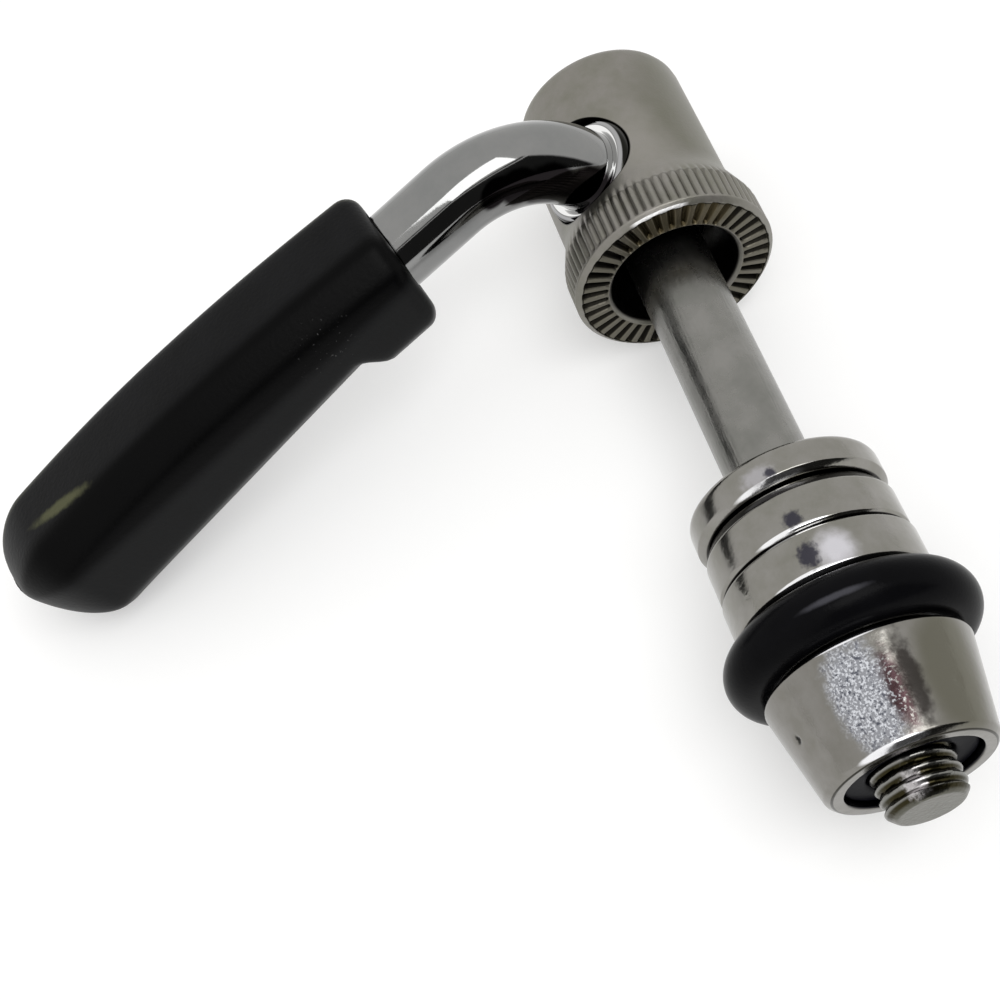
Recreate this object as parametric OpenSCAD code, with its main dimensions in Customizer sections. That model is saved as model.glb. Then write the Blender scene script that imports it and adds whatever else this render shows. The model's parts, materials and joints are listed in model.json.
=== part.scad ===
// Seatpost quick release bolt: an internal-cam barrel with a bent round lever, an eye bolt,
// three washers, a rubber ring and a cone nut with a locking insert.
// The pieces are built in a bench frame: X along the bolt towards its tip, with X = 0 at the
// flange face, and Z along the cross hole on the lever's side. The last step lays the whole part
// down on its flange, its rubber ring and the end of its grip.

/* [Bolt] */
// Diameter of the plain shank
shank_d = 8; // [6:0.5:10]
// Distance from the flange face to the bolt's tip
bolt_reach = 57.6; // [50:0.1:70]
// Start of the thread, from the flange face
thread_start = 30; // [24:0.5:32]
// Outside diameter of the thread
thread_d = 7.2; // [5.8:0.1:8]
// Chamfer on the tip
tip_chamfer = 0.7; // [0.3:0.1:1]
// Thickness of the head between its two flats
head_t = 8; // [6:0.5:9]
// Length of the head behind the centre of its eye
head_back = 6.4; // [5.6:0.1:7]
// Length of the head in front of the centre of its eye
head_front = 6.2; // [5.6:0.1:8]
// Diameter of the eye
eye_d = 8.8; // [8.6:0.1:9.4]

/* [Barrel] */
// Diameter of the barrel
barrel_d = 17.7; // [16:0.1:20]
// Length of the barrel from its closed end to the flange face
barrel_len = 24.2; // [22:0.1:32]
// Rounding of the closed end
barrel_round = 1.6; // [0.5:0.1:3]
// Thickness of the closed end
barrel_floor = 3; // [1.5:0.1:4]
// Diameter of the bore
bore_d = 13; // [12.8:0.1:14]
// Chamfer at the mouth of the bore
bore_chamfer = 0.4; // [0.1:0.1:1]
// Diameter of the flange
flange_d = 20.4; // [19:0.1:24]
// Length of the flange's straight rim
flange_rim = 3.8; // [3:0.1:5]
// Length of the flare between rim and barrel
flange_flare = 3.9; // [2:0.1:5]
// Radius of the hollow where the flare meets the barrel
flare_hollow = 6; // [2:0.5:8]
// Chamfer between rim and face
flange_chamfer = 0.5; // [0.2:0.1:0.8]
// Number of teeth in the straight knurl round the rim
rim_teeth = 72; // [48:1:90]
// Depth of the knurl
rim_tooth_depth = 0.25; // [0.1:0.05:0.35]
// Number of serrations on the flange's face
face_teeth = 40; // [24:1:44]
// Depth of a serration
face_tooth_depth = 0.5; // [0.2:0.05:0.8]
// Width of a serration at the face
face_groove_w = 0.8; // [0.4:0.05:0.9]
// Plain lip between the bore and the serrations
face_lip = 0.3; // [0.2:0.1:0.6]
// Distance from the flange face to the cross hole
cross_back = 11.25; // [10.6:0.05:14]

/* [Lever] */
// Diameter of the lever's rod
rod_d = 7.9; // [6:0.1:8.5]
// Diameter of the collar in the cross hole
collar_d = 10.6; // [10:0.1:12]
// Height of the collar's face above the bolt's axis
collar_top = 8.2; // [7.6:0.1:11]
// Chamfer round the collar's face
collar_chamfer = 0.7; // [0.2:0.1:1]
// Height above the bolt's axis at which the bend starts
bend_start = 8.4; // [8:0.1:12]
// Radius of the bend at the rod's centre
bend_r = 12.2; // [10:0.1:20]
// Angle of the bend
bend_deg = 70; // [60:1:90]
// Thinning of the rod's diameter where it was bent
bend_thin = 0.02; // [0.02:0.01:0.1]
// Straight rod left bare between bend and grip
rod_bare = 7.1; // [3:0.1:20]
// Length of rod inside the grip
rod_in_grip = 38; // [20:1:44]
// Turn of the lever about the cross hole, from the bolt's direction
lever_turn = -76; // [-90:1:-60]
// Diameter of the eccentric neck
neck_d = 5.6; // [5:0.1:6]
// Throw of the eccentric neck
neck_throw = 1; // [0.5:0.1:1.2]
// Length of neck sunk in the collar and in the journal
neck_root = 1; // [0.5:0.1:2]
// Diameter of the far journal
journal_d = 8.4; // [7.6:0.1:8.4]
// Reach of the far journal beyond the bolt's axis
journal_reach = 6.9; // [6.6:0.1:7]

/* [Grip] */
// Length of the grip
grip_len = 49.1; // [46:0.1:70]
// Width of the grip
grip_w = 13.6; // [12:0.1:18]
// Height of the crown above the rod's centre
grip_crown = 7; // [6:0.1:9]
// Place of the crown, from the mouth
grip_crown_at = 22; // [18:1:30]
// Fall of the top face from crown to mouth
grip_fall_mouth = 0.7; // [0:0.1:1.2]
// Fall of the top face from crown to free end
grip_fall_end = 2.4; // [0.5:0.1:3]
// Depth of the belly below the rod's centre, at the mouth
grip_belly_mouth = 4.6; // [4.5:0.1:6]
// Depth of the belly below the rod's centre, at the free end
grip_belly_end = 9.3; // [6:0.1:12]
// Leg of the bevel along the top edges
grip_bevel_top = 2.6; // [1:0.1:3]
// Leg of the bevel along the belly edges
grip_bevel_belly = 3.6; // [1:0.1:4]
// Radius of the grip's soft edges
grip_soft = 1.3; // [0.8:0.1:1.6]
// Radius of the grip's free end
grip_end_r = 5; // [4:0.1:6]
// Depth of the finger stop at the mouth, below the rod's centre
stop_depth = 7.7; // [7:0.1:10]
// Length of the finger stop
stop_len = 6.6; // [4:0.1:12]
// Width of the dished mouth round the rod
mouth_gap = 0.7; // [0.2:0.1:0.8]
// Depth of the dished mouth
mouth_depth = 1; // [0.4:0.1:2]

/* [Washers] */
// Outside diameter of the domed washer
washer_1_d = 17.7; // [16:0.1:20]
// Thickness of the domed washer at its rim
washer_1_t = 3.2; // [2:0.1:5]
// Rounding of the domed washer's edge on the clamp's side
washer_1_round = 0.9; // [0.2:0.1:1.2]
// Outside diameter of the dished washer
washer_2_d = 17.5; // [16.8:0.1:20]
// Thickness of the dished washer at its rim
washer_2_t = 4.65; // [3:0.05:6]
// Outside diameter of the flat washer
washer_3_d = 17.8; // [16:0.1:20]
// Thickness of the flat washer
washer_3_t = 4.3; // [2:0.1:6]
// Radius of the dome that lets the washers tilt
dome_r = 24; // [20:1:40]
// Diameter of the dome at its edge
dome_d = 16.7; // [14:0.1:17]
// Chamfer on the washers' plain edges
washer_chamfer = 0.35; // [0.1:0.05:0.6]
// Depth of the bevel on the rim of the dished washer
dish_bevel = 0.55; // [0.3:0.05:0.8]
// Length of that bevel along the bolt
dish_bevel_len = 1; // [0.3:0.1:1.4]
// Width of the flat land round the dish
dish_land = 0.2; // [0.1:0.05:0.4]

/* [Nut] */
// Distance from the nut's outer face to the bolt's tip
tip_out = 3.1; // [0.5:0.05:5]
// Length of the cone
cone_len = 9.2; // [7:0.05:14]
// Large diameter of the cone
cone_big_d = 18.3; // [17:0.1:22]
// Small diameter of the cone
cone_small_d = 15; // [13:0.1:17]
// Chamfer round the outer face
cone_chamfer = 0.4; // [0.1:0.1:1]
// Diameter of the hub that carries the rubber ring
hub_d = 12.6; // [11:0.1:12.6]
// Length of the hub
hub_len = 5.75; // [5.4:0.05:8]
// Diameter of the insert's seat
seat_d = 11.8; // [10:0.1:12.4]
// Depth of the insert's seat
seat_depth = 3.6; // [2:0.1:5]
// Thickness of the insert
insert_t = 3; // [1:0.1:3.4]
// Thickness of the rubber ring
ring_t = 4.94; // [3:0.01:5]

/* [Fits] */
// Running clearance on the radius between turning pieces
run_fit = 0.1; // [0.05:0.01:0.1]
// Clearance on the radius round the nut's thread
thread_fit = 0.1; // [0.05:0.01:0.1]
// Clearance between pieces that are pressed or glued together
seat_fit = 0.05; // [0.02:0.01:0.1]
// Clearance on the radius between the rubber ring and the nut's hub
ring_fit = 0.05; // [0.02:0.01:0.1]
// Gap between the faces of neighbouring washers
stack_gap = 0.05; // [0.02:0.01:0.2]
// Gap between dome and dish
dome_gap = 0.3; // [0.1:0.05:0.4]
// End play of the bolt's head between the neck's shoulders
head_play = 0.2; // [0.1:0.05:0.4]
// Clearance on the radius between the bolt's head and the bore
head_gap = 0.3; // [0.2:0.05:0.6]
// Free play between eye and neck
eye_play = 0.12; // [0.1:0.01:0.2]

/* [Hidden] */
$fn = 96;
soft_fn = 24;
// How far a cutting solid stands past the face that it opens
cut = 1;
// The same for a serration's cutter, which must not reach its neighbour
skim = 0.1;

// Places along the bolt
nut_face_x = bolt_reach - tip_out;
cone_big_x = nut_face_x - cone_len;
hub_end_x = cone_big_x - hub_len;
washer_3_x = hub_end_x - stack_gap - washer_3_t;
washer_2_x = washer_3_x - stack_gap - washer_2_t;
dome_sag = dome_r - sqrt(dome_r * dome_r - dome_d * dome_d / 4);
dish_r = dome_r + dome_gap;
dish_rim_r = washer_2_d / 2 - dish_bevel - dish_land;
dome_centre_x = washer_2_x - sqrt(dish_r * dish_r - dish_rim_r * dish_rim_r);
dome_rim_x = dome_centre_x + dome_r - dome_sag;
washer_1_x = dome_rim_x - washer_1_t;
ring_x = (cone_big_x + washer_3_x + washer_3_t) / 2;
ring_tube_r = ring_t / 2;
ring_bore_d = hub_d + 2 * ring_fit;
ring_r = ring_bore_d / 2 + ring_tube_r;

// Cross hole and cam
cross_x = -cross_back;
eye_slack = (eye_d - neck_d) / 2 - eye_play;
eye_lead = sqrt(eye_slack * eye_slack - neck_throw * neck_throw);
eye_x = cross_x + eye_lead;
shoulder_z = head_t / 2 + head_play;
head_d = bore_d - 2 * head_gap;
cross_hole_r = collar_d / 2 + run_fit;
journal_hole_r = journal_d / 2 + run_fit;

// Lever's own frame: the bend lies in the XZ plane and leads towards +X
bend_end = [bend_r - bend_r * cos(bend_deg), 0, bend_start + bend_r * sin(bend_deg)];
rod_dir = [sin(bend_deg), 0, cos(bend_deg)];
crown_dir = [-cos(bend_deg), 0, sin(bend_deg)];
mouth_at = bend_end + rod_bare * rod_dir;
// How far the bend runs on inside the straight rod at each end before it would break through
bend_lap = acos(1 - bend_thin / 4 / bend_r);

// Half sizes of the grip at a distance from the mouth, taken to the centres of its soft edges
function grip_top(s) =
    let (u = s < grip_crown_at ? (grip_crown_at - s) / grip_crown_at
                               : (s - grip_crown_at) / (grip_len - grip_crown_at))
    grip_crown - (s < grip_crown_at ? grip_fall_mouth : grip_fall_end) * u * u - grip_soft;
function grip_belly(s) = grip_belly_mouth + (grip_belly_end - grip_belly_mouth) * s / grip_len - grip_soft;
function soft_leg(leg) = leg - (2 - sqrt(2)) * grip_soft;
// Centres of the eight soft corners of one section, drawn in by an inset
function section_points(s, top, belly, inset) =
    let (w = grip_w / 2 - grip_soft - inset,
         t = top - inset,
         b = belly - inset,
         lt = min(soft_leg(grip_bevel_top), w),
         lb = min(soft_leg(grip_bevel_belly), w))
    [for (side = [-1, 1], p = [[w - lt, t], [w, t - lt], [w, lb - b], [w - lb, -b]]) [s, side * p[0], p[1]]];
// Sections along the body: the mouth, the crown, and a round free end
end_steps = [0, 35, 70];
end_turn_r = grip_end_r - grip_soft;
end_turn_s = grip_len - grip_end_r;
body_sections = concat(
    [[grip_soft, grip_soft / 2], [2 * grip_soft, 0], [grip_crown_at / 2, 0], [grip_crown_at, 0],
     [(grip_crown_at + end_turn_s) / 2, 0]],
    [for (a = end_steps) [end_turn_s + end_turn_r * sin(a), end_turn_r * (1 - cos(a))]]);
body_points = [for (q = body_sections, p = section_points(q[0], grip_top(q[0]), grip_belly(q[0]), q[1])) p];
// The finger stop is a deeper belly that slopes back into the body
stop_slope = stop_depth - grip_belly(stop_len) - grip_soft;
stop_sections = [[grip_soft, stop_depth - grip_soft, grip_soft / 2], [2 * grip_soft, stop_depth - grip_soft, 0],
                 [stop_len - grip_soft / 2, stop_depth - grip_soft, 0],
                 [stop_len + stop_slope, grip_belly(stop_len + stop_slope), 0]];
stop_points = [for (q = stop_sections, p = section_points(q[0], grip_top(q[0]), q[1], q[2])) p];

// How the part lies: on the back edge of the flange's rim, the rubber ring and the grip
flange_r = flange_d / 2;
touch_run = ring_x + flange_rim;
touch_rise = ring_r - flange_r;
rest_pitch = asin(ring_tube_r / norm([touch_run, touch_rise])) + atan2(touch_rise, touch_run);
axis_height = flange_r * cos(rest_pitch) + flange_rim * sin(rest_pitch);
// A point of the grip in the bench frame
function on_lever(p) = mouth_at + p[0] * rod_dir + [0, p[1], 0] + p[2] * crown_dir;
function to_bench(p) =
    let (q = on_lever(p))
    [cross_x + q[0] * cos(lever_turn) - q[1] * sin(lever_turn), q[0] * sin(lever_turn) + q[1] * cos(lever_turn), q[2]];
grip_bench = [for (p = concat(body_points, stop_points)) to_bench(p)];
// Roll about the bolt that brings one soft corner of the grip down to the surface
function roll_to_touch(p) =
    atan2(p[1], p[2])
    + acos((grip_soft - axis_height - p[0] * sin(rest_pitch)) / cos(rest_pitch) / norm([p[1], p[2]]));
rest_roll = min([for (p = grip_bench) roll_to_touch(p)]);
// The box round the part as it lies, whose middle is the origin
barrel_inner_r = barrel_d / 2 - barrel_round;
low_x = -(barrel_len - barrel_round) * cos(rest_pitch) - barrel_inner_r * sin(rest_pitch) - barrel_round;
high_x = bolt_reach * cos(rest_pitch) + (thread_d / 2 - tip_chamfer) * sin(rest_pitch);
low_y = min([for (p = grip_bench) p[1] * cos(rest_roll) - p[2] * sin(rest_roll)]) - grip_soft;
high_y = ring_r + ring_tube_r;

module at_rest() {
    translate([-(low_x + high_x) / 2, -(low_y + high_y) / 2, axis_height])
        rotate([0, -rest_pitch, 0])
            rotate([rest_roll, 0, 0])
                children();
}

// A revolved outline whose first coordinate runs along the bolt and second is the radius
module turned(outline) {
    rotate([0, 90, 0])
        rotate([0, 0, 90])
            rotate_extrude()
                polygon([for (p = outline) [p[1], p[0]]]);
}

// A plain bore along the bolt
module bore_x(from, to, r) {
    translate([from, 0, 0])
        rotate([0, 90, 0])
            cylinder(h = to - from, r = r);
}

// Quarter arc of an outline's corner, from an angle to an angle about a centre
function arc(cx, cy, r, from, to, steps = 6) =
    [for (i = [0:steps]) let (a = from + (to - from) * i / steps) [cx + r * cos(a), cy + r * sin(a)]];

// The straight knurl: a toothed bar whose crests lie just outside the rim, so that flats are left
module knurl() {
    crest_r = flange_r + rim_tooth_depth / 2;
    root_r = flange_r - rim_tooth_depth;
    step = 180 / rim_teeth;
    translate([-barrel_len - cut, 0, 0])
        rotate([0, 90, 0])
            linear_extrude(height = barrel_len + 2 * cut)
                polygon([for (i = [0:2 * rim_teeth - 1])
                    let (r = i % 2 == 0 ? crest_r : root_r)
                    [r * cos(i * step), r * sin(i * step)]]);
}

// The cutters of the face's radial serrations, one on each side of a flat that lies along Z
module serrations() {
    from_r = bore_d / 2 + bore_chamfer + face_lip;
    to_r = flange_r - flange_chamfer - face_lip / 2;
    half_w = face_groove_w / 2 * (face_tooth_depth + skim) / face_tooth_depth;
    for (i = [0:face_teeth - 1])
        rotate([(i + 0.5) * 360 / face_teeth, 0, 0])
            translate([0, 0, from_r])
                linear_extrude(height = to_r - from_r)
                    polygon([[-face_tooth_depth, 0], [skim, -half_w], [skim, half_w]]);
}

module barrel() {
    r = barrel_d / 2;
    slope = atan2(flange_r - r, flange_flare);
    hollow_x = -flange_rim - flange_flare - flare_hollow * tan(slope / 2);
    color([0.70, 0.69, 0.66])
        at_rest()
            difference() {
                intersection() {
                    turned(concat(
                        [[-barrel_len, 0]],
                        arc(-barrel_len + barrel_round, r - barrel_round, barrel_round, 180, 90),
                        arc(hollow_x, r + flare_hollow, flare_hollow, -90, slope - 90),
                        [[-flange_rim, flange_r], [-flange_chamfer, flange_r],
                         [0, flange_r - flange_chamfer], [0, 0]]));
                    knurl();
                }
                serrations();
                bore_x(-barrel_len + barrel_floor, cut, bore_d / 2);
                turned([[-bore_chamfer, 0], [-bore_chamfer, bore_d / 2], [0, bore_d / 2 + bore_chamfer],
                        [cut, bore_d / 2 + bore_chamfer], [cut, 0]]);
                translate([cross_x, 0, shoulder_z - head_play / 2])
                    cylinder(h = flange_d, r = cross_hole_r);
                translate([cross_x, 0, -journal_reach - head_play])
                    cylinder(h = journal_reach, r = journal_hole_r);
            }
}

module lever_rod() {
    color([0.82, 0.82, 0.82])
        at_rest()
            translate([cross_x, 0, 0]) {
                // Far journal, eccentric neck and collar are turned on the end of the rod
                translate([0, 0, -journal_reach])
                    cylinder(h = journal_reach - shoulder_z, d = journal_d);
                translate([0, neck_throw, -shoulder_z - neck_root])
                    cylinder(h = 2 * (shoulder_z + neck_root), d = neck_d);
                translate([0, 0, shoulder_z])
                    cylinder(h = collar_top - collar_chamfer - shoulder_z, d = collar_d);
                translate([0, 0, collar_top - collar_chamfer])
                    cylinder(h = collar_chamfer, d1 = collar_d, d2 = collar_d - 2 * collar_chamfer);
                translate([0, 0, shoulder_z])
                    cylinder(h = bend_start - shoulder_z, d = rod_d);
                rotate([0, 0, lever_turn]) {
                    translate([bend_r, 0, bend_start])
                        rotate([90, 0, 0])
                            rotate([0, 0, 180 - bend_deg - bend_lap])
                                rotate_extrude(angle = bend_deg + 2 * bend_lap)
                                    translate([bend_r, 0])
                                        circle(d = rod_d - bend_thin);
                    translate(bend_end)
                        rotate([0, bend_deg, 0])
                            rotate([0, 0, 180])
                                cylinder(h = rod_bare + rod_in_grip, d = rod_d);
                }
            }
}

module soft_hull(points) {
    hull()
        for (p = points)
            translate(p)
                sphere(r = grip_soft, $fn = soft_fn);
}

module grip() {
    color([0.09, 0.09, 0.10])
        at_rest()
            translate([cross_x, 0, 0])
                rotate([0, 0, lever_turn])
                    translate(mouth_at)
                        rotate([0, bend_deg - 90, 0])
                            difference() {
                                union() {
                                    soft_hull(body_points);
                                    soft_hull(stop_points);
                                }
                                bore_x(-cut, rod_in_grip + seat_fit, rod_d / 2 + seat_fit);
                                bore_x(-cut, mouth_depth, rod_d / 2 + mouth_gap);
                            }
}

module bolt() {
    r = shank_d / 2;
    // The shank is rooted in the middle of the metal in front of the eye
    neck_x = eye_x + (eye_d / 2 + head_front) / 2;
    color([0.64, 0.63, 0.61])
        at_rest() {
            difference() {
                intersection() {
                    bore_x(eye_x - head_back, eye_x + head_front, head_d / 2);
                    translate([eye_x - head_back, -head_d, -head_t / 2])
                        cube([head_back + head_front, 2 * head_d, head_t]);
                }
                translate([eye_x, 0, -head_t])
                    cylinder(h = 2 * head_t, d = eye_d);
            }
            turned([[neck_x, 0], [neck_x, r], [thread_start, r], [thread_start, thread_d / 2],
                    [bolt_reach - tip_chamfer, thread_d / 2], [bolt_reach, thread_d / 2 - tip_chamfer],
                    [bolt_reach, 0]]);
        }
}

// A washer's outline: the points of its edge on the clamp's side, and a plain chamfer on the nut's
module washer_blank(edge, far_x, d, chamfer) {
    turned(concat([[edge[0][0], 0]], edge,
                  [[far_x - chamfer, d / 2], [far_x, d / 2 - chamfer], [far_x, 0]]));
}

module washer_domed() {
    dome_top_x = dome_centre_x + dome_r + cut;
    color([0.74, 0.73, 0.69])
        at_rest()
            difference() {
                // A thick blank whose bevel runs on past the rim, rounded off by the ball of the dome
                intersection() {
                    washer_blank(arc(washer_1_x + washer_1_round, washer_1_d / 2 - washer_1_round,
                                     washer_1_round, 180, 90),
                                 dome_top_x, washer_1_d,
                                 dome_top_x - dome_rim_x + (washer_1_d - dome_d) / 2);
                    translate([dome_centre_x, 0, 0])
                        rotate([0, 90, 0])
                            sphere(r = dome_r);
                }
                bore_x(washer_1_x - cut, dome_top_x + cut, shank_d / 2 + run_fit);
            }
}

module washer_dished() {
    color([0.74, 0.73, 0.69])
        at_rest()
            difference() {
                washer_blank([[washer_2_x, washer_2_d / 2 - dish_bevel],
                              [washer_2_x + dish_bevel_len, washer_2_d / 2]],
                             washer_2_x + washer_2_t, washer_2_d, washer_chamfer);
                translate([dome_centre_x, 0, 0])
                    rotate([0, 90, 0])
                        sphere(r = dish_r);
                bore_x(washer_2_x - cut, washer_2_x + washer_2_t + cut, shank_d / 2 + run_fit);
            }
}

module washer_flat() {
    color([0.74, 0.73, 0.69])
        at_rest()
            difference() {
                washer_blank([[washer_3_x, washer_3_d / 2 - washer_chamfer],
                              [washer_3_x + washer_chamfer, washer_3_d / 2]],
                             washer_3_x + washer_3_t, washer_3_d, washer_chamfer);
                bore_x(washer_3_x - cut, washer_3_x + washer_3_t + cut, shank_d / 2 + run_fit);
            }
}

module rubber_ring() {
    color([0.07, 0.07, 0.08])
        at_rest()
            translate([ring_x, 0, 0])
                rotate([0, 90, 0])
                    rotate_extrude()
                        translate([ring_r, 0])
                            circle(r = ring_tube_r);
}

module cone_nut() {
    small_r = cone_small_d / 2;
    color([0.76, 0.74, 0.70])
        at_rest()
            difference() {
                turned([[hub_end_x, 0], [hub_end_x, hub_d / 2], [cone_big_x, hub_d / 2],
                        [cone_big_x, cone_big_d / 2 - cone_chamfer], [cone_big_x + cone_chamfer, cone_big_d / 2],
                        [nut_face_x - cone_chamfer, small_r], [nut_face_x, small_r - cone_chamfer],
                        [nut_face_x, 0]]);
                bore_x(hub_end_x - cut, nut_face_x + cut, thread_d / 2 + thread_fit);
                bore_x(nut_face_x - seat_depth, nut_face_x + cut, seat_d / 2);
            }
}

module nut_insert() {
    color([0.06, 0.06, 0.09])
        at_rest()
            difference() {
                bore_x(nut_face_x - seat_depth, nut_face_x - seat_depth + insert_t, seat_d / 2 - seat_fit);
                bore_x(nut_face_x - seat_depth - cut, nut_face_x + cut, thread_d / 2 + thread_fit);
            }
}

barrel();
lever_rod();
grip();
bolt();
washer_domed();
washer_dished();
washer_flat();
rubber_ring();
cone_nut();
nut_insert();
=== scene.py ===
"""Looks of a seatpost quick release bolt: a satin nickel cam barrel with a knurled flange, a chromed
round lever with a black moulded grip, an eye bolt, three bright washers, a rubber ring and a cone nut.
Sizes are in millimetres on the bench, where X runs along the bolt towards its tip from the flange
face, and Z along the cross hole on the lever's side. Each piece is laid into the model's frame last."""

import json
import math

import bpy
import numpy as np
from mathutils import Matrix, Vector


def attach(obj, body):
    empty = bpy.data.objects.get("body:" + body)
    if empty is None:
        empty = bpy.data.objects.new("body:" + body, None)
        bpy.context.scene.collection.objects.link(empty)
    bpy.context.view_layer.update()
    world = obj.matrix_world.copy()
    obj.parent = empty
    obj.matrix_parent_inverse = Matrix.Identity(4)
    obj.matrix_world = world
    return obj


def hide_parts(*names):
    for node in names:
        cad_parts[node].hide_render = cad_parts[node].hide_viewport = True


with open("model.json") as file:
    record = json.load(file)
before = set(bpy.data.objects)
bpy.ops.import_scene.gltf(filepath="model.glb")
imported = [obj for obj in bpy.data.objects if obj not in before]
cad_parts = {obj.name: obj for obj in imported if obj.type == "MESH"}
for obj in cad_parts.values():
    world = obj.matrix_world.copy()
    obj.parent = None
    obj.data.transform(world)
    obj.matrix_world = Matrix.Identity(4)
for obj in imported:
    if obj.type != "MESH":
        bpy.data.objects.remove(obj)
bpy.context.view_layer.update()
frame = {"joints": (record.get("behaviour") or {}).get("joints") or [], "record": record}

# Eye bolt
# One turned and flattened piece of zinc-plated steel. Its eye sits round the cam inside the barrel,
# its plain shank crosses the clamp, and its thinner rolled thread carries the nut.
SHANK_R = 4.0
BOLT_REACH = 57.6
THREAD_START = 30.0
THREAD_R = 3.6
THREAD_PITCH = 1.0
THREAD_DEPTH = 0.3
TIP_CHAMFER = 0.7
HEAD_R = 6.2
HEAD_HALF_T = 4.0
HEAD_BACK = 6.4
HEAD_FRONT = 6.2
EYE_R = 4.4
CROSS_BACK = 11.25
EYE_LEAD = 1.09
# Columns round the bolt, the longest step along its thread, the tiny radius at which every outline
# stops short of its axis, and how far the two blocks that flatten the head reach past it
BOLT_COLUMNS = 96
THREAD_STEP = 0.09
POLE_R = 0.02
HEAD_CUT_X = -25.0
HEAD_CUT_Y = 9.0
HEAD_CUT_Z = 12.0
# The thread's groove: how much of each turn is flat root, how steep its sides are, and the rise by
# which the first turn fades in
ROOT_WIDTH = 1.25
ROOT_STEEP = 1.5
RUN_IN_RISE = 0.4

# The bench axes are found in the model from the shank's mount and the lever's joint
shank_mount = next(m for m in frame["record"]["mounts"] if m["name"] == "bolt_shank")
lever_joint = next(j for j in frame["joints"] if j["name"] == "lever_turn")
ALONG = np.array(shank_mount["axis"], float)
ALONG /= np.linalg.norm(ALONG)
ACROSS = np.array(lever_joint["axis"], float)
ACROSS -= ALONG * (ACROSS @ ALONG)
ACROSS /= np.linalg.norm(ACROSS)
ASIDE = np.cross(ACROSS, ALONG)
BENCH = np.array([ALONG, ASIDE, ACROSS])
FLANGE_FACE = np.array(lever_joint["pos_m"], float) + ALONG * CROSS_BACK / 1000


def laid(points_mm):
    """Bench point to model point: flange face's centre plus each coordinate times its bench axis."""
    return FLANGE_FACE + np.asarray(points_mm, float) @ BENCH / 1000


def softened(corners, steps=5):
    """Outline with rounded corners. Each corner is (x, radius, fillet); a fillet is a quadratic curve
    between the two points that lie one fillet away from the corner along its sides."""
    pts = np.array([c[:2] for c in corners], float)
    out = []
    for i, c in enumerate(corners):
        fillet = c[2] if len(c) > 2 else 0
        if fillet == 0 or i in (0, len(corners) - 1):
            out.append(pts[i:i + 1])
            continue
        back, on = pts[i - 1] - pts[i], pts[i + 1] - pts[i]
        a = pts[i] + back * min(0.5, fillet / np.linalg.norm(back))
        b = pts[i] + on * min(0.5, fillet / np.linalg.norm(on))
        t = np.linspace(0, 1, steps)[:, None]
        out.append((1 - t) ** 2 * a + 2 * t * (1 - t) * pts[i] + t ** 2 * b)
    return np.concatenate(out)


def filled(outline, longest, from_x=-100.0):
    """The same outline with points added so that no step is longer than the given length, or eight
    times that where it lies before a place along the bolt."""
    out = [outline[:1]]
    for a, b in zip(outline[:-1], outline[1:]):
        most = longest if max(a[0], b[0]) > from_x else 8 * longest
        n = max(1, int(math.ceil(np.linalg.norm(b - a) / most)))
        out.append(a + (b - a) * (np.arange(1, n + 1) / n)[:, None])
    return np.concatenate(out)


def grid_faces(rows, columns, closed_rows):
    """Quads between neighbouring rows and columns of a grid whose columns run round and join up."""
    i = np.arange(rows if closed_rows else rows - 1)[:, None]
    j = np.arange(columns)[None, :]
    k, l = (i + 1) % rows, (j + 1) % columns
    quad = [i * columns + j, i * columns + l, k * columns + l, k * columns + j]
    return np.stack([np.broadcast_to(q, (len(i), columns)) for q in quad], -1).reshape(-1, 4)


def shell(points, closed_rows=False):
    """A closed surface from a grid of points (rows, columns, 3). Open ends get one pole each, at the
    mean of the end row. The faces are turned outwards by the sign of the enclosed volume."""
    rows, columns = points.shape[:2]
    verts = points.reshape(-1, 3)
    faces = [grid_faces(rows, columns, closed_rows)]
    if not closed_rows:
        j = np.arange(columns)
        l = (j + 1) % columns
        first, last = len(verts), len(verts) + 1
        verts = np.concatenate([verts, points[:1].mean(1), points[-1:].mean(1)])
        ends = (rows - 1) * columns
        faces.append(np.stack([np.full(columns, first), l, j, j], -1))
        faces.append(np.stack([np.full(columns, last), ends + j, ends + l, ends + l], -1))
    faces = np.concatenate(faces)
    a, b, c, d = (verts[faces[:, n]] for n in range(4))
    volume = (np.cross(b, c) * a).sum() + (np.cross(c, d) * a).sum()
    return verts, faces if volume > 0 else faces[:, ::-1]


def made(name, shells, sharp_deg=32):
    """One mesh object from closed shells in bench millimetres, smooth but for edges sharper than the
    given angle. The corner that closes a three-sided face is dropped."""
    verts, faces, start = [], [], 0
    for v, f in shells:
        verts.append(v)
        faces += [[q for k, q in enumerate(row) if q != row[k - 1]] for row in (f + start).tolist()]
        start += len(v)
    mesh = bpy.data.meshes.new(name)
    mesh.from_pydata(laid(np.concatenate(verts)).tolist(), [], faces)
    mesh.shade_smooth()
    mesh.set_sharp_from_angle(angle=math.radians(sharp_deg))
    obj = bpy.data.objects.new(name, mesh)
    bpy.context.scene.collection.objects.link(obj)
    return obj


def turned(outline, columns, relief=None):
    """Grid of a turned surface: (x, radius) of the outline at the angle a gives the point
    (x, radius sin a, radius cos a). relief changes x and radius by place and angle."""
    a = np.arange(columns) * 2 * math.pi / columns
    x, r = (np.repeat(outline[:, k:k + 1], columns, 1) for k in (0, 1))
    if relief:
        x, r = relief(x, r, np.broadcast_to(a, x.shape))
    return np.stack([x, r * np.sin(a), r * np.cos(a)], -1)


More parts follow.
